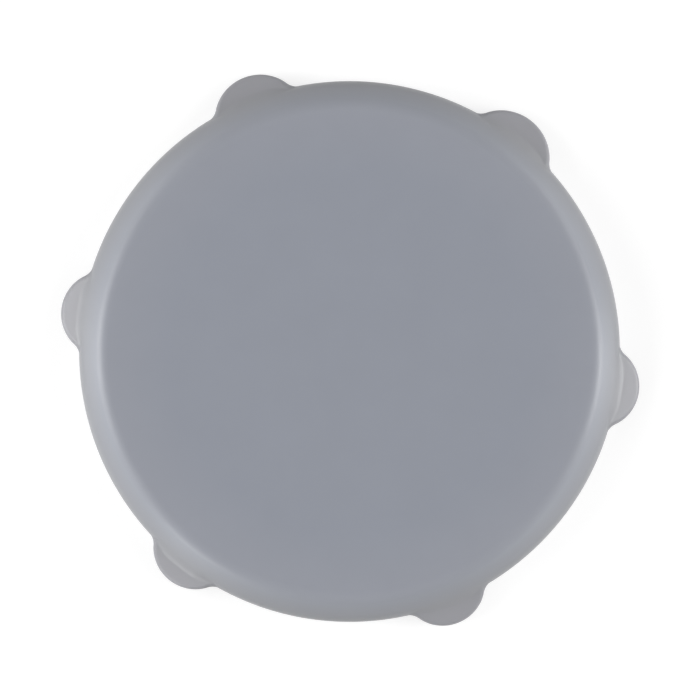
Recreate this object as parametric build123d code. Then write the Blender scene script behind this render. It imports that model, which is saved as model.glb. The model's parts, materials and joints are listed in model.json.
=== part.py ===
from build123d import *
from math import cos, radians, sin
import os

# Silicone drain stopper: a low round cap that is laid over a drain and peeled off by any of its six ears.
# Lengths are in millimetres and angles in degrees.
# The origin is on the tub floor under the middle of the cap, with +Z up.

# Cap, outside
cap_radius = 75.0
shoulder_slope_width = 6.5
shoulder_top_round = 5.0
shoulder_low_round = 6.5
skirt_edge_round = 0.6

# Cap, inside: the layers from the top down, and the hollow that goes over the drain
skin_thickness = 2.0
plate_thickness = 1.5
liner_thickness = 2.2
hollow_depth = 8.3
rim_outer_wall = 2.0
rim_inner_wall = 4.2

# Steel core plate, with holes that the liner's pegs bond through
plate_overlap = 0.5
plate_edge_round = 0.3
key_hole_radius = 3.0
key_hole_inset = 12.0
key_count = 6

# Liner that closes the plate in from below, caught over the inside of the rim
liner_overlap = 1.7
pocket_fit = 0.3

# Inner ring that closes round a bath drain
drain_gap = 15.0
drain_root_width = 4.0
drain_lip_width = 2.0
drain_lip_round_share = 0.45
drain_tongue_width = 2.0
drain_tongue_share = 0.5
drain_fit = 0.1

# Seal under the rim: a wide foot, a stem and a head that keeps it in its slot.
# The cap's weight presses it in level with the rim, and it springs out by its travel when the cap is lifted.
seal_foot_width = 4.6
seal_foot_height = 2.2
seal_foot_round = 0.8
seal_stem_width = 1.6
seal_neck_height = 1.1
seal_head_width = 3.2
seal_head_height = 1.4
seal_head_round = 0.5
seal_clearance = 0.35
seal_travel = 1.0

# Ears, which droop outwards from the wall and bend along a straight line just outside it
ear_count = 6
first_ear_angle = 52.0
ear_droop = 25.0
ear_thickness = 2.0
ear_edge_round_share = 0.425
ear_radius = 12.2
ear_length = 6.2
ear_root_fillet = 7.0
ear_seat_depth = 0.35
ear_root_depth = 4.0
hinge_gap = 0.8
hinge_height = 5.4
hinge_clearance = 0.3

# How far a cut runs past what it cuts
overrun = 2.0

# Levels, from the floor up
liner_bottom = hollow_depth
liner_top = liner_bottom + liner_thickness
plate_top = liner_top + plate_thickness
cap_height = plate_top + skin_thickness
neck_bottom = seal_foot_height + seal_clearance
neck_top = neck_bottom + seal_neck_height
seal_head_bottom = neck_top + seal_travel + seal_clearance
seal_top = seal_head_bottom + seal_head_height

# Radii, from the outside in
hinge_radius = cap_radius + hinge_gap
seal_radius = cap_radius - rim_outer_wall - seal_clearance - seal_foot_width / 2
hollow_radius = seal_radius - seal_foot_width / 2 - seal_clearance - rim_inner_wall
liner_radius = hollow_radius + liner_overlap
plate_radius = hollow_radius + plate_overlap
key_circle_radius = plate_radius - key_hole_inset
drain_ring_radius = hollow_radius - drain_gap - drain_root_width / 2


def disc(radius, bottom, top):
    """A flat round disc about the middle axis."""
    return Pos(0, 0, bottom) * Cylinder(radius, top - bottom, align=(Align.CENTER, Align.CENTER, Align.MIN))


def band(middle_radius, width, bottom, top):
    """A square-cut ring of a given width, centred on a circle."""
    return disc(middle_radius + width / 2, bottom, top) - disc(middle_radius - width / 2, bottom, top)


def rounded(sketch, place, radius):
    """The sketch with its corner nearest to a place rounded."""
    return fillet(sketch.vertices().sort_by_distance((*place, 0))[0], radius)


def turned(sketch):
    """A half section, drawn as radius and height, turned about the middle axis."""
    return revolve(Plane.XZ * sketch, Axis.Z)


def around(count, first_angle, shape):
    """Even copies of a shape about the middle axis."""
    return [Rot(0, 0, first_angle + 360 * step / count) * shape for step in range(count)]


def cap_outside():
    """The cap's outer form: flat face, sloping rounded shoulder and straight wall."""
    slope_top = (cap_radius - shoulder_slope_width, cap_height)
    slope_bottom = (cap_radius, cap_height - shoulder_slope_width)
    skirt_edge = (cap_radius, 0)
    section = Polygon((0, 0), skirt_edge, slope_bottom, slope_top, (0, cap_height), align=None)
    section = rounded(section, slope_top, shoulder_top_round)
    section = rounded(section, slope_bottom, shoulder_low_round)
    section = rounded(section, skirt_edge, skirt_edge_round)
    return turned(section)


def seal_slot():
    """Room under the rim for the seal, pressed in and sprung out."""
    sides = 2 * seal_clearance
    slot_top = seal_top + seal_clearance
    slot = band(seal_radius, seal_foot_width + sides, -overrun, neck_bottom)
    slot += band(seal_radius, seal_stem_width + sides, -overrun, slot_top)
    slot += band(seal_radius, seal_head_width + sides, neck_top, slot_top)
    return slot


def ear_plane():
    """The ear's own plane, through its hinge line, for an ear along +X."""
    outward = (cos(radians(ear_droop)), 0, -sin(radians(ear_droop)))
    upward = (sin(radians(ear_droop)), 0, cos(radians(ear_droop)))
    return Plane(origin=(hinge_radius, 0, hinge_height), x_dir=outward, z_dir=upward)


def ear_plate():
    """An ear with its root, as one flat plate let into the wall."""
    slant = cos(radians(ear_droop))
    seat_radius = cap_radius - ear_seat_depth
    wall_radius = seat_radius * slant
    wall_middle = (seat_radius - hinge_radius) / slant - wall_radius
    ear_middle = (ear_length - hinge_gap) / slant - ear_radius
    outline = Pos(wall_middle, 0) * Circle(wall_radius)
    outline += Pos(ear_middle, 0) * Rot(0, 0, 180) * Circle(ear_radius)
    outline = fillet(outline.vertices().sort_by(Axis.X)[-2:], ear_root_fillet)
    plate = extrude(outline, ear_thickness / 2, both=True)
    plate = fillet(plate.edges().filter_by(GeomType.CIRCLE), ear_edge_round_share * ear_thickness)
    window_length = ear_root_depth + ear_radius
    window_width = 2 * ear_radius + ear_root_fillet
    return plate & Pos(window_length / 2 - ear_root_depth, 0) * Box(window_length, window_width, window_length)


def hinge_rod(radius, length):
    """A rod along the hinge line, in the ear's own plane."""
    return Rot(90, 0, 0) * Cylinder(radius, length)


def beyond_hinge():
    """A block that holds all of an ear that lies outside its hinge line."""
    size = 2 * (ear_radius + ear_root_fillet)
    return Box(size, size, size, align=(Align.MIN, Align.CENTER, Align.CENTER))


def pull_tab():
    """The ear outside its hinge line, with the round bead that it turns on, for an ear along +X."""
    flap = ear_plate() & beyond_hinge()
    hinge_face = flap.faces().sort_by(Axis.X)[0]
    bead_length = hinge_face.bounding_box().size.Y - 2 * ear_edge_round_share * ear_thickness
    return ear_plane() * (flap + hinge_rod(ear_thickness / 2, bead_length))


def bead_groove():
    """Room for an ear's bead, along its hinge line."""
    return ear_plane() * hinge_rod(ear_thickness / 2 + hinge_clearance, 2 * (ear_radius + ear_root_fillet))


def ear_root():
    """The fixed root of an ear along +X, up to its hinge line."""
    return ear_plane() * (ear_plate() - beyond_hinge())


def cover():
    """The silicone cap: face, wall, rim with its seal slot, lip that keeps the liner in, and ear roots."""
    shape = cap_outside()
    shape -= disc(hollow_radius, -overrun, liner_bottom)
    shape -= disc(liner_radius + pocket_fit, liner_bottom, liner_top)
    shape -= disc(plate_radius + pocket_fit, liner_bottom, plate_top)
    # The round faces have their seams at +X, so the first ear is put half a step from there and all is then turned.
    half_step = 180 / ear_count
    for root in around(ear_count, half_step, ear_root()):
        shape += root
    for groove in around(ear_count, half_step, bead_groove()):
        shape -= groove
    shape -= seal_slot()
    return Rot(0, 0, first_ear_angle - half_step) * shape


def core_plate():
    """The steel disc that weighs the cap down and keeps its face flat."""
    shape = disc(plate_radius, liner_top, plate_top)
    shape = fillet(shape.edges(), plate_edge_round)
    hole = Pos(key_circle_radius, 0) * disc(key_hole_radius, liner_top - overrun, plate_top + overrun)
    return shape - around(key_count, first_ear_angle, hole)


def drain_tongue(fit):
    """The square rib that the drain ring is held by, or the groove for it."""
    width = drain_tongue_width + 2 * fit
    top = liner_bottom + drain_tongue_share * liner_thickness + fit
    return band(drain_ring_radius, width, liner_bottom, top)


def base_liner():
    """The silicone sheet under the plate, with pegs through the plate and a groove for the drain ring."""
    shape = disc(liner_radius, liner_bottom, liner_top)
    peg = Pos(key_circle_radius, 0) * disc(key_hole_radius - pocket_fit, liner_top, plate_top)
    for each in around(key_count, first_ear_angle, peg):
        shape += each
    return shape - drain_tongue(drain_fit)


def drain_ring():
    """The inner sealing ring: a tapered lip on a tongue."""
    root_side = drain_root_width / 2
    lip_side = drain_lip_width / 2
    inner_lip = (drain_ring_radius - lip_side, 0)
    outer_lip = (drain_ring_radius + lip_side, 0)
    outer_root = (drain_ring_radius + root_side, liner_bottom)
    inner_root = (drain_ring_radius - root_side, liner_bottom)
    section = Polygon(inner_lip, outer_lip, outer_root, inner_root, align=None)
    section = rounded(section, inner_lip, drain_lip_round_share * drain_lip_width)
    section = rounded(section, outer_lip, drain_lip_round_share * drain_lip_width)
    return turned(section) + drain_tongue(0)


def seal_ring():
    """The seal under the rim: foot, stem and head."""
    foot = band(seal_radius, seal_foot_width, 0, seal_foot_height)
    foot = fillet(foot.edges().group_by(Axis.Z)[0], seal_foot_round)
    stem = band(seal_radius, seal_stem_width, seal_foot_height, seal_head_bottom)
    head = band(seal_radius, seal_head_width, seal_head_bottom, seal_top)
    head = fillet(head.edges().group_by(Axis.Z)[-1], seal_head_round)
    return foot + stem + head


pieces = {
    "cover": cover(),
    "core_plate": core_plate(),
    "base_liner": base_liner(),
    "drain_ring": drain_ring(),
    "seal_ring": seal_ring(),
}
for number, tab in enumerate(around(ear_count, first_ear_angle, pull_tab()), start=1):
    pieces[f"pull_tab_{number}"] = tab

os.makedirs("parts", exist_ok=True)
for name, shape in pieces.items():
    export_step(shape, f"parts/{name}.step")
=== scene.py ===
import json
import math

import bmesh
import bpy
import numpy as np
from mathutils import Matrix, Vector


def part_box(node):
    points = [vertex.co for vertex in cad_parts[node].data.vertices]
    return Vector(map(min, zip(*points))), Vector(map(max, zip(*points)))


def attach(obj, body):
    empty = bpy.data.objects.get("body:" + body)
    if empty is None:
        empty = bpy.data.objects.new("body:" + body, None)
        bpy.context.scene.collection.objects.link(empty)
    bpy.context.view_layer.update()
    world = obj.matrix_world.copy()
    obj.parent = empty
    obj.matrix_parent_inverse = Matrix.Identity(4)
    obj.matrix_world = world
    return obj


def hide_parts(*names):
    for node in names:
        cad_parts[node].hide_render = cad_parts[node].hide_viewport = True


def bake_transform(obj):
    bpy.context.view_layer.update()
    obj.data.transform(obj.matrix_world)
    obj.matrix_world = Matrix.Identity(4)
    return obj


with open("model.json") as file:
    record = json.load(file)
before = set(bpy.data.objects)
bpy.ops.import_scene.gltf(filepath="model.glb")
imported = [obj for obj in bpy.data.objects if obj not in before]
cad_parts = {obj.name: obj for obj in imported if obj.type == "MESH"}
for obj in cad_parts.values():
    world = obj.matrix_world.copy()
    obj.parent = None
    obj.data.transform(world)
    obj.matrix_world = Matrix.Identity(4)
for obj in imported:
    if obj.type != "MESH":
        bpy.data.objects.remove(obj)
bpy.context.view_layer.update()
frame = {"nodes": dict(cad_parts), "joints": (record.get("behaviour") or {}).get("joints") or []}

# Silicone drain stopper: a low cap with six ears, seen square from above on white.
# Piece sizes are in millimetres, as on a drawing, and turned into metres with mm.
mm = 0.001


# Small helpers

def hexColour(code):
    channels = [int(code[i:i + 2], 16) / 255 for i in (1, 3, 5)]
    return [c / 12.92 if c <= 0.04045 else ((c + 0.055) / 1.055) ** 2.4 for c in channels] + [1.0]


def addNode(tree, kind, links=None, **settings):
    node = tree.nodes.new(kind)
    for name, value in settings.items():
        setattr(node, name, value)
    for socket, value in (links or {}).items():
        if isinstance(value, bpy.types.NodeSocket):
            tree.links.new(value, node.inputs[socket])
        else:
            node.inputs[socket].default_value = value
    return node


def maths(tree, operation, *values):
    return addNode(tree, "ShaderNodeMath", dict(enumerate(values)), operation=operation).outputs[0]


def meshObject(name, points, faces=()):
    mesh = bpy.data.meshes.new(name)
    mesh.from_pydata([tuple(p) for p in points], (), faces)
    mesh.update()
    piece = bpy.data.objects.new(name, mesh)
    bpy.context.scene.collection.objects.link(piece)
    return piece


def runTree(source, tree, name, **values):
    # the modifier's result becomes a plain mesh, and the source loses its modifier
    modifier = source.modifiers.new(tree.name, "NODES")
    modifier.node_group = tree
    for item in tree.interface.items_tree:
        if item.item_type == "SOCKET" and item.in_out == "INPUT" and item.name in values:
            modifier[item.identifier] = values[item.name]
    source.update_tag()
    graph = bpy.context.evaluated_depsgraph_get()
    mesh = bpy.data.meshes.new_from_object(source.evaluated_get(graph), depsgraph=graph)
    source.modifiers.remove(modifier)
    mesh.name = name
    piece = bpy.data.objects.new(name, mesh)
    bpy.context.scene.collection.objects.link(piece)
    return piece


def finishMesh(piece, crease):
    # normals outwards, and edges sharper than the crease angle kept crisp
    work = bmesh.new()
    work.from_mesh(piece.data)
    bmesh.ops.recalc_face_normals(work, faces=work.faces)
    if work.calc_volume(signed=True) < 0:
        bmesh.ops.reverse_faces(work, faces=work.faces)
    for face in work.faces:
        face.smooth = True
    for edge in work.edges:
        edge.smooth = len(edge.link_faces) != 2 or edge.calc_face_angle(0) < math.radians(crease)
    work.to_mesh(piece.data)
    work.free()
    return piece


def newTree(name, inputs):
    tree = bpy.data.node_groups.new(name, "GeometryNodeTree")
    tree.is_modifier = True
    tree.interface.new_socket("Geometry", in_out="INPUT", socket_type="NodeSocketGeometry")
    for label, kind in inputs.items():
        tree.interface.new_socket(label, in_out="INPUT", socket_type=kind)
    tree.interface.new_socket("Geometry", in_out="OUTPUT", socket_type="NodeSocketGeometry")
    return tree


def closeTree(tree, start, geometry):
    # every tree ends with real geometry that carries its material
    real = addNode(tree, "GeometryNodeRealizeInstances", {"Geometry": geometry}).outputs[0]
    material = start.outputs["Material"]
    dressed = addNode(tree, "GeometryNodeSetMaterial", {"Geometry": real, "Material": material})
    addNode(tree, "NodeGroupOutput", {"Geometry": dressed.outputs[0]})
    return tree


# Geometry Nodes trees

seamGap = 0.002 * mm  # points nearer than this, at the seam or on the axis, become one


def makeTurningTree():
    # turns a half section, given as a row of points, about the middle axis
    tree = newTree("turnedSection", {"Turn Steps": "NodeSocketInt", "Material": "NodeSocketMaterial"})
    start = addNode(tree, "NodeGroupInput")
    section, steps = start.outputs["Geometry"], start.outputs["Turn Steps"]
    domain = addNode(tree, "GeometryNodeAttributeDomainSize", {"Geometry": section}, component="MESH")
    count = domain.outputs["Point Count"]
    columns = maths(tree, "ADD", steps, 1.0)
    grid = addNode(tree, "GeometryNodeMeshGrid", {"Vertices X": columns, "Vertices Y": count})
    index = addNode(tree, "GeometryNodeInputIndex").outputs[0]
    column = maths(tree, "FLOOR", maths(tree, "DIVIDE", index, count))
    row = maths(tree, "MODULO", index, count)
    place = addNode(tree, "GeometryNodeInputPosition").outputs[0]
    source = {"Geometry": section, "Index": row}
    point = addNode(tree, "GeometryNodeSampleIndex", source, data_type="FLOAT_VECTOR")
    tree.links.new(place, point.inputs["Value"])
    angle = maths(tree, "MULTIPLY", maths(tree, "DIVIDE", column, steps), math.tau)
    turn = {"Vector": point.outputs[0], "Angle": angle}
    turned = addNode(tree, "ShaderNodeVectorRotate", turn, rotation_type="Z_AXIS").outputs[0]
    moved = addNode(tree, "GeometryNodeSetPosition", {"Geometry": grid.outputs["Mesh"], "Position": turned})
    closed = addNode(tree, "GeometryNodeMergeByDistance", {"Geometry": moved.outputs[0], "Distance": seamGap})
    return closeTree(tree, start, closed.outputs[0])


def makeRoundTree():
    # even copies of a shape about the middle axis
    tree = newTree("copiesRound", {
        "Count": "NodeSocketInt", "First Angle": "NodeSocketFloat", "Material": "NodeSocketMaterial",
    })
    start = addNode(tree, "NodeGroupInput")
    count = start.outputs["Count"]
    points = addNode(tree, "GeometryNodeMeshLine", {"Count": count, "Offset": (0.0, 0.0, 0.0)}).outputs[0]
    index = addNode(tree, "GeometryNodeInputIndex").outputs[0]
    step = maths(tree, "MULTIPLY", maths(tree, "DIVIDE", index, count), math.tau)
    angle = maths(tree, "ADD", step, start.outputs["First Angle"])
    turn = addNode(tree, "ShaderNodeCombineXYZ", {"Z": angle}).outputs[0]
    copies = addNode(tree, "GeometryNodeInstanceOnPoints", {
        "Points": points, "Instance": start.outputs["Geometry"], "Rotation": turn,
    })
    return closeTree(tree, start, copies.outputs[0])


turningTree = makeTurningTree()
roundTree = makeRoundTree()


# Materials

def newMaterial(name):
    material = bpy.data.materials.new(name)
    material.use_nodes = True
    return material, material.node_tree


def noise(tree, place, size, detail, roughness):
    return addNode(tree, "ShaderNodeTexNoise", {
        "Vector": place, "Scale": 1 / (size * mm), "Detail": detail, "Roughness": roughness,
    }).outputs["Fac"]


def remap(tree, value, low, high, toLow, toHigh):
    return addNode(tree, "ShaderNodeMapRange", {
        "Value": value, "From Min": low, "From Max": high, "To Min": toLow, "To Max": toHigh,
    }).outputs[0]


def bump(tree, height, strength, depth):
    return addNode(tree, "ShaderNodeBump", {
        "Height": height, "Strength": strength, "Distance": depth * mm,
    }).outputs[0]


def dressShader(tree, colour, rough, relief):
    shader = tree.nodes["Principled BSDF"]
    for socket, source in (("Base Color", colour), ("Roughness", rough), ("Normal", relief)):
        tree.links.new(source, shader.inputs[socket])
    return shader


def siliconeMaterial(name, look):
    # Moulded silicone rubber: an even body colour, a satin skin from the blasted mould, and a soft grain.
    # Its colour follows the radius. On the cover this paints light and shade: the slope paler as a painted
    # highlight, the steep round of the wall darker as painted shade, and the thin ears paler as painted light
    # let through them.
    material, tree = newMaterial(name)
    place = addNode(tree, "ShaderNodeTexCoord").outputs["Object"]
    flat = addNode(tree, "ShaderNodeVectorMath", {0: place, 1: (1.0, 1.0, 0.0)}, operation="MULTIPLY")
    radius = addNode(tree, "ShaderNodeVectorMath", {0: flat.outputs[0]}, operation="LENGTH").outputs["Value"]
    widest = look["tones"][-1][0]
    # colour by radius; on the cover it holds a painted highlight on the slope and painted shade on the wall's
    # round
    ramp = addNode(tree, "ShaderNodeValToRGB", {"Fac": maths(tree, "DIVIDE", radius, widest * mm)})
    stops = ramp.color_ramp.elements
    for number, (reach, code) in enumerate(look["tones"]):
        stop = stops[number] if number < 2 else stops.new(1.0)
        stop.position = reach / widest
        stop.color = hexColour(code)
    # body colour together with the cover's painted light and shade by radius
    body = ramp.outputs["Color"]
    cloud = noise(tree, place, look["cloudSize"], look["cloudDetail"], look["cloudRoughness"])
    shade = remap(tree, cloud, *look["cloudSpan"], 1 - look["cloudDepth"], 1 + look["cloudDepth"])
    colour = addNode(tree, "ShaderNodeVectorMath", {0: body, "Scale": shade}, operation="SCALE").outputs[0]
    grain = noise(tree, place, look["grainSize"], look["grainDetail"], look["grainRoughness"])
    smoother = look["roughness"] - look["roughnessSpread"]
    rougher = look["roughness"] + look["roughnessSpread"]
    rough = remap(tree, grain, *look["grainSpan"], smoother, rougher)
    relief = bump(tree, grain, look["grainStrength"], look["grainDepth"])
    shader = dressShader(tree, colour, rough, relief)
    shader.inputs["IOR"].default_value = look["ior"]
    return material


coverLook = {
    # radius and colour: the face over the steel disc, the slope past it paler as a painted highlight, the
    # thick wall's steep round darker as painted shade, the thin ears paler as painted light let through
    "tones": ((50.0, "#91959f"), (66.0, "#9598a1"), (70.0, "#999ca4"), (74.5, "#95969a"), (78.0, "#99999e")),
    "cloudSize": 14.0, "cloudDetail": 3.0, "cloudRoughness": 0.55, "cloudSpan": (0.3, 0.7),
    "cloudDepth": 0.012,
    "grainSize": 0.45,  # the real grain is near 0.1 mm, drawn coarser so that it shows
    "grainDetail": 2.0, "grainRoughness": 0.6, "grainSpan": (0.25, 0.75),
    "grainStrength": 0.25, "grainDepth": 0.03, "roughness": 0.38, "roughnessSpread": 0.04, "ior": 1.41,
}
coverSilicone = siliconeMaterial("mouldedSiliconeGrey", coverLook)

# The liner comes from a coarser mould, which leaves it matt and a little cloudy.
linerLook = dict(coverLook, tones=((30.0, "#8b8e96"), (65.0, "#888b93")), roughness=0.6, cloudDepth=0.02)
linerSilicone = siliconeMaterial("matMouldedSiliconeLiner", linerLook)

# The seals are a softer and darker silicone from a smooth mould, with less grain to see.
sealLook = dict(coverLook, tones=((45.0, "#7d7f85"), (72.0, "#808288")), grainStrength=0.12)
sealSilicone = siliconeMaterial("softSiliconeSeal", sealLook)


def steelMaterial(look):
    # Cold-rolled stainless steel: bright grey with fine straight rolling lines and a soft, stretched gloss.
    material, tree = newMaterial("rolledStainlessSteel")
    place = addNode(tree, "ShaderNodeTexCoord").outputs["Object"]
    stretched = addNode(tree, "ShaderNodeMapping", {"Vector": place, "Scale": (1.0, look["stretch"], 1.0)})
    lines = noise(tree, stretched.outputs[0], look["lineLength"], look["lineDetail"], look["lineRoughness"])
    colour = addNode(tree, "ShaderNodeMix", {
        "Factor": lines, 6: hexColour(look["darkColour"]), 7: hexColour(look["paleColour"]),
    }, data_type="RGBA").outputs[2]
    smoother, rougher = look["roughness"] - look["smootherBy"], look["roughness"] + look["rougherBy"]
    rough = remap(tree, lines, 0.0, 1.0, smoother, rougher)
    relief = bump(tree, lines, look["lineStrength"], look["lineDepth"])
    shader = dressShader(tree, colour, rough, relief)
    shader.inputs["Metallic"].default_value = 1.0
    return material


steelLook = {
    "darkColour": "#b4b6b9", "paleColour": "#cfd0d2",
    "roughness": 0.32, "smootherBy": 0.06, "rougherBy": 0.08,
    "lineLength": 6.0, "stretch": 30.0, "lineDetail": 4.0, "lineRoughness": 0.5,
    "lineStrength": 0.2, "lineDepth": 0.01,
}
corePlate = frame["nodes"]["core_plate"].data
corePlate.materials.clear()
corePlate.materials.append(steelMaterial(steelLook))
print("materials made")


# Turned pieces

turnedCrease = 35.0
cornerReach = math.tan(math.radians(22.5))  # how far the round of a 45 degree corner reaches, in radii


def roundedSection(corners, arcStep):
    # a row of (radius, height) points through corners given as (radius, height, round), rounds as short arcs
    points = []
    for i, (r, z, bend) in enumerate(corners):
        here = np.array((r, z))
        if bend == 0 or i in (0, len(corners) - 1):
            points.append(here)
            continue
        back = np.array(corners[i - 1][:2]) - here
        ahead = np.array(corners[i + 1][:2]) - here
        back, ahead = back / np.linalg.norm(back), ahead / np.linalg.norm(ahead)
        half = math.acos(np.clip(back @ ahead, -1, 1)) / 2
        middle = here + (back + ahead) / np.linalg.norm(back + ahead) * bend / math.sin(half)
        first = here + back * bend / math.tan(half) - middle
        last = here + ahead * bend / math.tan(half) - middle
        sweep = math.pi - 2 * half
        steps = max(2, math.ceil(math.degrees(sweep) / arcStep))
        for k in range(steps + 1):
            a, b = math.sin(sweep * (1 - k / steps)), math.sin(sweep * k / steps)
            points.append(middle + (first * a + last * b) / math.sin(sweep))
    return points


def bothSides(middle, side):
    # the corners on a ring's outer side, then the same in reverse on its inner side
    outer = [(middle + half, z, bend) for half, z, bend in side]
    return outer + [(middle - half, z, bend) for half, z, bend in reversed(side)]


def turnedPiece(name, corners, material, size):
    section = roundedSection(corners, size["arcStep"])
    row = meshObject(name + "Section", [(r * mm, 0, z * mm) for r, z in section])
    piece = runTree(row, turningTree, name, **{"Turn Steps": size["turnSteps"], "Material": material})
    bpy.data.objects.remove(row)
    return finishMesh(piece, turnedCrease)


coverSize = {
    "radius": 75.0, "slopeWidth": 6.5, "topRound": 5.0, "lowRound": 6.5, "edgeRound": 0.6,
    "skin": 2.0, "hollowRadius": 63.5, "hollowRound": 0.5, "lipRound": 0.15,
    "plateRadius": 64.3, "linerRadius": 65.5, "linerTop": 10.5, "linerBottom": 8.3,
    "slotRadius": 70.35, "slotTop": 6.75, "neckBottom": 2.55, "neckTop": 3.65,
    "footHalf": 2.65, "neckHalf": 1.15, "headHalf": 1.95, "mouthRound": 0.25, "neckRound": 0.2,
    "flashDrop": 0.2, "flashHeight": 0.07, "flashHalf": 0.14,  # the fine line where the mould's halves meet
    "ringStep": 7.0, "arcStep": 4.0, "turnSteps": 420,
}


def makeCover(size):
    low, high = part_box("cover")
    top, bottom, wall = high[2] / mm, low[2] / mm, size["radius"]
    flatEnd = wall - size["slopeWidth"] - size["topRound"] * cornerReach
    flashTop = top - size["slopeWidth"] - size["lowRound"] * cornerReach - size["flashDrop"]
    rings = int(flatEnd / size["ringStep"])
    corners = [(0, top, 0)] + [(flatEnd * k / rings, top, 0) for k in range(1, rings)]
    corners += [
        (wall - size["slopeWidth"], top, size["topRound"]),
        (wall, top - size["slopeWidth"], size["lowRound"]),
        (wall, flashTop, 0),
        (wall, flashTop - size["flashHalf"], 0),
        (wall + size["flashHeight"], flashTop - 2 * size["flashHalf"], 0),
        (wall, flashTop - 3 * size["flashHalf"], 0),
        (wall, bottom, size["edgeRound"]),
    ]
    corners += bothSides(size["slotRadius"], [
        (size["footHalf"], bottom, size["mouthRound"]), (size["footHalf"], size["neckBottom"], 0),
        (size["neckHalf"], size["neckBottom"], size["neckRound"]),
        (size["neckHalf"], size["neckTop"], size["neckRound"]),
        (size["headHalf"], size["neckTop"], 0), (size["headHalf"], size["slotTop"], 0),
    ])
    corners += [
        (size["hollowRadius"], bottom, size["hollowRound"]),
        (size["hollowRadius"], size["linerBottom"], size["lipRound"]),
        (size["linerRadius"], size["linerBottom"], 0), (size["linerRadius"], size["linerTop"], 0),
        (size["plateRadius"], size["linerTop"], 0), (size["plateRadius"], top - size["skin"], 0),
        (0, top - size["skin"], 0),
    ]
    cover = turnedPiece("cover_skin", corners, coverSilicone, size)
    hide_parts("cover")
    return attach(cover, "cap")


makeCover(coverSize)
print("cover made")


sealSize = {
    "radius": 70.35, "footHalf": 2.3, "footHeight": 2.2, "footRound": 0.8, "stemHalf": 0.8, "headBottom": 5.0,
    "headHalf": 1.6, "headTop": 6.4, "headRound": 0.5, "barbRound": 0.15, "neckRound": 0.3,
    "arcStep": 12.0, "turnSteps": 300,
}


def makeSeal(size):
    middle, foot, stem, head = (size[k] for k in ("radius", "footHalf", "stemHalf", "headHalf"))
    topMiddle = (middle, size["headTop"], 0)
    corners = [topMiddle] + bothSides(middle, [
        (head, size["headTop"], size["headRound"]), (head, size["headBottom"], size["barbRound"]),
        (stem, size["headBottom"], size["neckRound"]), (stem, size["footHeight"], size["neckRound"]),
        (foot, size["footHeight"], size["neckRound"]), (foot, 0, size["footRound"]),
    ]) + [topMiddle]
    seal = turnedPiece("seal_lip", corners, sealSilicone, size)
    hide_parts("seal_ring")
    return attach(seal, "seal")


makeSeal(sealSize)

drainRingSize = {
    "radius": 46.5, "rootHalf": 2.0, "lipHalf": 1.0, "lipRound": 0.9, "tongueHalf": 1.0, "tongueTop": 9.4,
    "top": 8.3, "arcStep": 12.0, "turnSteps": 240,
}


def makeDrainRing(size):
    middle, tongue = size["radius"], size["tongueHalf"]
    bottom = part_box("drain_ring")[0][2] / mm
    topMiddle = (middle, size["tongueTop"], 0)
    corners = [topMiddle] + bothSides(middle, [
        (tongue, size["tongueTop"], 0), (tongue, size["top"], 0), (size["rootHalf"], size["top"], 0),
        (size["lipHalf"], bottom, size["lipRound"]),
    ]) + [topMiddle]
    ring = turnedPiece("drain_lip", corners, sealSilicone, size)
    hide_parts("drain_ring")
    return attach(ring, "cap")


makeDrainRing(drainRingSize)

hinges = sorted((j for j in frame["joints"] if j["type"] == "hinge"), key=lambda j: j["name"])
earAngles = [math.atan2(j["pos_m"][1], j["pos_m"][0]) for j in hinges]

linerSize = {
    "radius": 65.2, "bottom": 8.3, "top": 10.5, "edgeRound": 0.3, "grooveRadius": 46.5, "grooveHalf": 1.1,
    "grooveTop": 9.5, "ringShare": 0.6,  # a plain ring of points, as a share of the groove's inner radius
    "gateRadius": 3.0, "gateDepth": 0.4, "gateRound": 0.2, "gateFloorRound": 0.15,
    "pegRadius": 2.7, "pegTop": 12.0, "pegCircle": 52.0, "pegCount": 6, "pegSides": 32, "pegCrease": 40.0,
    "arcStep": 15.0, "turnSteps": 240,
}


def makeLiner(size):
    # the small dimple in the middle is where the silicone was let into the mould
    top, bottom = size["top"], size["bottom"]
    outer = size["grooveRadius"] + size["grooveHalf"]
    inner = size["grooveRadius"] - size["grooveHalf"]
    corners = [
        (0, top, 0), (size["radius"], top, size["edgeRound"]), (size["radius"], bottom, size["edgeRound"]),
        (outer, bottom, 0), (outer, size["grooveTop"], 0), (inner, size["grooveTop"], 0),
        (inner, bottom, 0), (inner * size["ringShare"], bottom, 0),
        (size["gateRadius"], bottom, size["gateRound"]),
        (size["gateRadius"], bottom + size["gateDepth"], size["gateFloorRound"]),
        (0, bottom + size["gateDepth"], 0),
    ]
    liner = turnedPiece("liner_sheet", corners, linerSilicone, size)
    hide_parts("base_liner")
    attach(liner, "cap")
    makePegs(size)


def makePegs(size):
    # the pegs that bond the liner through the disc's holes
    radius, low, high = size["pegRadius"] * mm, size["top"], size["pegTop"]
    peg = meshObject("pegShape", [])
    work = bmesh.new()
    bmesh.ops.create_cone(
        work, cap_ends=True, segments=size["pegSides"], radius1=radius, radius2=radius,
        depth=(high - low) * mm,
    )
    bmesh.ops.translate(work, verts=work.verts, vec=(size["pegCircle"] * mm, 0, (high + low) / 2 * mm))
    work.to_mesh(peg.data)
    work.free()
    pegs = runTree(peg, roundTree, "liner_pegs", **{
        "Count": size["pegCount"], "First Angle": earAngles[0], "Material": linerSilicone,
    })
    bpy.data.objects.remove(peg)
    finishMesh(pegs, size["pegCrease"])
    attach(pegs, "cap")


makeLiner(linerSize)
print("seals and liner made")


# Ears: a shape worked out from distances, then turned into its place

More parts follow.
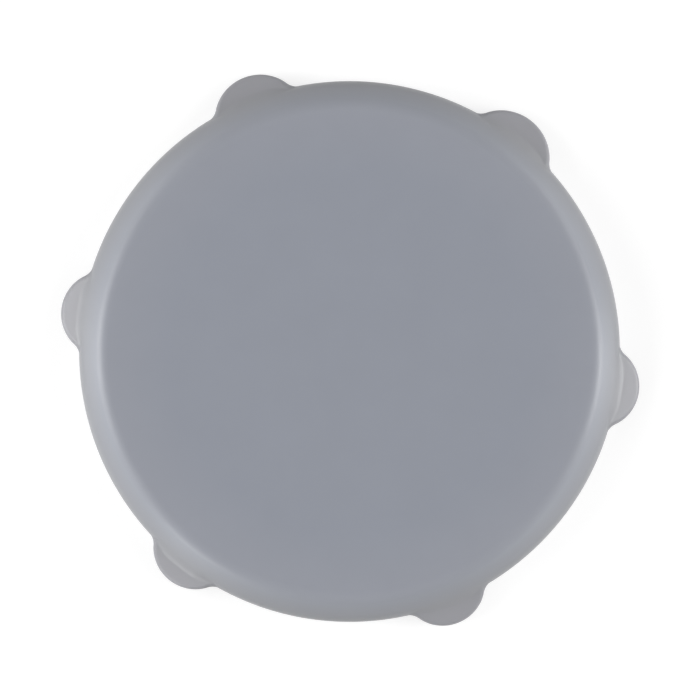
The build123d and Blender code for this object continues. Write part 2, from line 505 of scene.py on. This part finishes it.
earSize = {
    "droop": 25.0, "thickness": 2.0, "edgeRound": 0.9, "radius": 11.5, "length": 6.25, "rootFillet": 4.5,
    "wallFillet": 1.6, "leastFillet": 0.001, "fadeShare": 0.7, "sink": 0.012, "rootDepth": 0.9,
    "bendPast": 1.4,  # how far outside its hinge line an ear stops bending
    "patchRise": 0.4, "patchSide": 0.5,  # how far the root's patch of wall runs past its fillets
    "grid": 0.28, "crease": 60.0, "roomInwards": 4.5, "roomOutwards": 1.0, "roomLow": 0.6, "roomUpwards": 5.4,
    "turns": (-0.2, -0.9, -0.7, -0.2, -0.1, 0.0),  # degrees off the even steps, as photographed
    "longer": (0.4, 0.35, -0.3, -0.35, 0.0, 0.0),
    "wider": (1.7, 0.9, 0.0, 0.0, 0.0, 0.0),
}
insetShare = 0.9  # how much of the wall's round an ear's outline follows inwards


def wallRound():
    # middle of the round between the cap's slope and its wall
    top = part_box("cover")[1][2] / mm
    middleHeight = top - coverSize["slopeWidth"] - coverSize["lowRound"] * cornerReach
    return coverSize["radius"] - coverSize["lowRound"], middleHeight, coverSize["lowRound"]


def wallDistance(p):
    middleRadius, middleHeight, bend = wallRound()
    r = np.hypot(p[:, 0], p[:, 1])
    onRound = np.hypot(r - middleRadius, p[:, 2] - middleHeight) - bend
    return np.where(p[:, 2] > middleHeight, onRound, r - coverSize["radius"])


def wallInset(z):
    # how far the round has drawn the wall in at a height
    _, middleHeight, bend = wallRound()
    above = np.clip(z - middleHeight, 0, insetShare * bend)
    return bend - np.sqrt(bend * bend - above * above)


def outlineOf(size):
    # seen from above: the wall's circle and a round ear, joined by two fillets
    wall, radius, fillet = coverSize["radius"] - size["sink"], size["radius"], size["rootFillet"]
    earMiddle = coverSize["radius"] + size["length"] - radius
    a, b = wall + fillet, radius + fillet
    turn = math.acos((a * a + earMiddle * earMiddle - b * b) / (2 * a * earMiddle))
    return wall, earMiddle, (a * math.cos(turn), a * math.sin(turn)), wall * math.sin(turn)


def outlineDistance(x, y, size):
    wall, earMiddle, (filletX, filletY), _ = outlineOf(size)
    qx, qy = x - filletX, y - filletY
    besideEar = (earMiddle - filletX) * qy + filletY * qx > 0
    besideWall = filletY * qx - filletX * qy < 0
    fromEar, fromFillet = np.hypot(x - earMiddle, y) - size["radius"], size["rootFillet"] - np.hypot(qx, qy)
    distance = np.where(besideEar, fromEar, fromFillet)
    return np.where(besideWall & ~besideEar, np.hypot(x, y) - wall, distance)


def earDistance(p, size, hingeRadius, hingeHeight):
    # a drooping plate with rounded edges that runs softly into the wall, most of all in the root's middle
    slope, half, edge = math.radians(size["droop"]), size["thickness"] / 2, size["edgeRound"]
    across = np.abs(p[:, 1])
    lift = (p[:, 0] - hingeRadius) * math.sin(slope) + (p[:, 2] - hingeHeight) * math.cos(slope)
    side = outlineDistance(p[:, 0] + wallInset(p[:, 2]), across, size) + edge
    face = np.abs(lift) - half + edge
    plate = np.minimum(np.maximum(side, face), 0) + np.hypot(np.maximum(side, 0), np.maximum(face, 0)) - edge
    wall = wallDistance(p) + size["sink"]
    rootEnd = outlineOf(size)[3]
    near = np.clip((rootEnd - across) / (size["fadeShare"] * rootEnd), 0, 1)
    bend = size["wallFillet"] * near * near * (3 - 2 * near) + size["leastFillet"]
    corner = np.hypot(np.maximum(bend - wall, 0), np.maximum(bend - plate, 0))
    joined = np.maximum(bend, np.minimum(wall, plate)) - corner
    patchFace = np.abs(lift) - half - size["wallFillet"] - size["patchRise"]
    patch = np.maximum(patchFace, across - rootEnd - size["patchSide"])
    return np.maximum(joined, np.maximum(patch, -wall - size["rootDepth"]))


def crossedCells(values, step, low):
    # one point in each grid cell that the surface passes, in the middle of where it cuts the cell's edges
    counts = values.shape
    inside = values < 0
    total = np.zeros([n - 1 for n in counts] + [3])
    hits = np.zeros([n - 1 for n in counts])
    corner = np.stack(np.meshgrid(*[np.arange(n - 1) for n in counts], indexing="ij"), -1).astype(float)
    for axis in range(3):
        others = [k for k in range(3) if k != axis]
        for i in (0, 1):
            for j in (0, 1):
                offset = np.zeros(3, int)
                offset[others[0]], offset[others[1]] = i, j
                first = tuple(slice(o, o + n - 1) for o, n in zip(offset, counts))
                offset[axis] = 1
                second = tuple(slice(o, o + n - 1) for o, n in zip(offset, counts))
                crossed = inside[first] != inside[second]
                gap = values[first] - values[second]
                share = np.where(crossed, values[first] / np.where(gap == 0, 1, gap), 0)
                offset[axis] = 0
                spot = corner + offset
                spot[..., axis] += share
                total += spot * crossed[..., None]
                hits += crossed
    used = hits > 0
    number = np.full(hits.shape, -1)
    number[used] = np.arange(used.sum())
    return total[used] / hits[used][:, None] * step + np.array(low), number


def crossedFaces(inside, number):
    # one quad round each grid edge that the surface cuts
    counts = inside.shape
    faces = []
    for axis in range(3):
        o1, o2 = [(axis + 1) % 3, (axis + 2) % 3]
        lead = [slice(0, n) for n in counts]
        lead[axis] = slice(0, counts[axis] - 1)
        trail = [slice(0, n) for n in counts]
        trail[axis] = slice(1, counts[axis])
        where = np.argwhere(inside[tuple(lead)] != inside[tuple(trail)])
        where = where[(where[:, o1] > 0) & (where[:, o2] > 0)]
        where = where[(where[:, o1] < counts[o1] - 1) & (where[:, o2] < counts[o2] - 1)]
        ring = []
        for d1, d2 in ((-1, -1), (0, -1), (0, 0), (-1, 0)):
            cell = where.copy()
            cell[:, o1] += d1
            cell[:, o2] += d2
            ring.append(number[tuple(cell.T)])
        faces.append(np.stack(ring, -1))
    return np.concatenate(faces)


def surfaceOf(distance, low, high, step, rounds=4, nudgeShare=0.01, leastSlope=0.25):
    # a quad mesh over the zero surface of a distance, with its points then moved onto that surface
    counts = [int((h - l) / step) + 1 for l, h in zip(low, high)]
    axes = [l + step * np.arange(n) for l, n in zip(low, counts)]
    cells = np.stack(np.meshgrid(*axes, indexing="ij"), -1).reshape(-1, 3)
    values = distance(cells).reshape(counts)
    points, number = crossedCells(values, step, low)
    nudge = nudgeShare * step
    for _ in range(rounds):
        here = distance(points)
        slope = np.stack([
            (distance(points + nudge * unit) - distance(points - nudge * unit)) / (2 * nudge)
            for unit in np.eye(3)
        ], -1)
        push = np.clip(here, -step / 2, step / 2)[:, None] * slope
        points -= push / np.maximum((slope ** 2).sum(1), leastSlope)[:, None]
    return points, crossedFaces(values < 0, number)


def makeEars(size):
    hingePlace = hinges[0]["pos_m"]
    hingeRadius = math.hypot(hingePlace[0], hingePlace[1]) / mm
    hingeHeight = hingePlace[2] / mm
    wide = size["radius"] + max(size["wider"]) + size["rootFillet"]
    low = (coverSize["radius"] - size["roomInwards"], -wide, size["roomLow"])
    reach = coverSize["radius"] + size["length"] + size["roomOutwards"]
    high = (reach, wide, hingeHeight + size["roomUpwards"])
    for number, (hinge, angle) in enumerate(zip(hinges, earAngles), start=1):
        own = dict(
            size, length=size["length"] + size["longer"][number - 1],
            radius=size["radius"] + size["wider"][number - 1],
        )
        points, faces = surfaceOf(
            lambda p: earDistance(p, own, hingeRadius, hingeHeight), low, high, size["grid"],
        )
        shape = meshObject("earShape", points * mm, [tuple(int(i) for i in f) for f in faces])
        place = angle + math.radians(size["turns"][number - 1])
        values = {"Count": 1, "First Angle": place, "Material": coverSilicone}
        ear = runTree(shape, roundTree, f"ear_{number}", **values)
        bpy.data.objects.remove(shape)
        finishMesh(ear, size["crease"])
        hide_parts(f"pull_tab_{number}")
        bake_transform(ear)


makeEars(earSize)
print("ears made")


# Floor, light and camera

sceneLook = {
    "floorSize": 3.0, "floorColour": "#a0a0a0", "floorGlow": 0.75, "glowNear": 0.12, "glowFar": 0.6,
    "worldLight": 0.23,
    "lens": 200.0, "frameWidth": 194.38, "aimX": 0.14, "aimY": 0.41, "rimHeight": 4.0,
}


def seenDirectly(tree):
    # 1 for what the camera sees, also in gloss and through anything clear, and 0 for light on the object
    path = addNode(tree, "ShaderNodeLightPath").outputs
    seen = maths(tree, "MAXIMUM", path["Is Camera Ray"], path["Is Glossy Ray"])
    return maths(tree, "MAXIMUM", seen, path["Is Transmission Ray"])


def makeFloor(look):
    side = look["floorSize"]
    corners = [(-side, -side, 0), (side, -side, 0), (side, side, 0), (-side, side, 0)]
    floor = meshObject("floor", corners, [(0, 1, 2, 3)])
    # White painted board: an even matt white. Beside the stopper it takes the shadow, and further out,
    # where the lamps fall off, its own glow keeps it white.
    material, tree = newMaterial("paintedBoardWhite")
    tree.nodes.clear()
    plain = addNode(tree, "ShaderNodeBsdfDiffuse", {"Color": hexColour(look["floorColour"])}).outputs[0]
    place = addNode(tree, "ShaderNodeTexCoord").outputs["Object"]
    reach = addNode(tree, "ShaderNodeVectorMath", {0: place}, operation="LENGTH").outputs["Value"]
    rising = remap(tree, reach, look["glowNear"], look["glowFar"], look["floorGlow"], 1.0)
    strength = maths(tree, "MULTIPLY", seenDirectly(tree), rising)
    glow = addNode(tree, "ShaderNodeEmission", {"Strength": strength}).outputs[0]
    both = addNode(tree, "ShaderNodeAddShader", {0: plain, 1: glow}).outputs[0]
    addNode(tree, "ShaderNodeOutputMaterial", {"Surface": both})
    floor.data.materials.append(material)


def makeWorld(look):
    world = bpy.data.worlds.new("softRoom")
    bpy.context.scene.world = world
    world.use_nodes = True
    tree = world.node_tree
    tree.nodes.clear()
    levels = {"Factor": seenDirectly(tree), "A": look["worldLight"], "B": 1.0}
    strength = addNode(tree, "ShaderNodeMix", levels, data_type="FLOAT").outputs[0]
    back = addNode(tree, "ShaderNodeBackground", {"Color": (1, 1, 1, 1), "Strength": strength}).outputs[0]
    addNode(tree, "ShaderNodeOutputWorld", {"Surface": back})


lamps = {
    # azimuth from +X towards +Y, elevation, distance, width, height, power: degrees, metres and watts
    "leftBox": (180, 32, 1.3, 1.0, 0.6, 8.2),
    "rightBox": (0, 32, 1.3, 1.0, 0.6, 5.6),
    "leftStrip": (180, 15, 1.2, 0.34, 0.6, 4.8),
    "rightStrip": (356, 15, 1.2, 0.34, 0.6, 6.7),
    "lowerLeft": (231, 15, 1.2, 0.24, 0.6, 3.6),
    "upperLeft": (143, 15, 1.2, 0.24, 0.6, 1.2),
    "upperRight": (36, 15, 1.2, 0.24, 0.6, 1.7),
    "lowerRight": (317, 12, 1.2, 0.1, 0.4, 0.6),
}


def makeLamps(table):
    for name, (azimuth, elevation, distance, width, height, power) in table.items():
        data = bpy.data.lights.new(name, "AREA")
        data.shape = "RECTANGLE"
        data.size, data.size_y, data.energy = width, height, power
        lamp = bpy.data.objects.new(name, data)
        turn, rise = math.radians(azimuth), math.radians(elevation)
        outward = Vector((math.cos(turn) * math.cos(rise), math.sin(turn) * math.cos(rise), math.sin(rise)))
        lamp.location = outward * distance
        lamp.rotation_euler = (-outward).to_track_quat("-Z", "Y").to_euler()
        bpy.context.scene.collection.objects.link(lamp)


def makeCamera(look):
    # straight down, as photographed, with the stopper a little off the middle
    data = bpy.data.cameras.new("camera")
    data.lens = look["lens"]
    camera = bpy.data.objects.new("camera", data)
    distance = data.lens / data.sensor_width * look["frameWidth"] * mm
    camera.location = (look["aimX"] * mm, look["aimY"] * mm, distance + look["rimHeight"] * mm)
    bpy.context.scene.collection.objects.link(camera)
    bpy.context.scene.camera = camera


makeFloor(sceneLook)
makeWorld(sceneLook)
makeLamps(lamps)
makeCamera(sceneLook)
bpy.context.scene.view_settings.view_transform = "Standard"
print("floor, light and camera made")
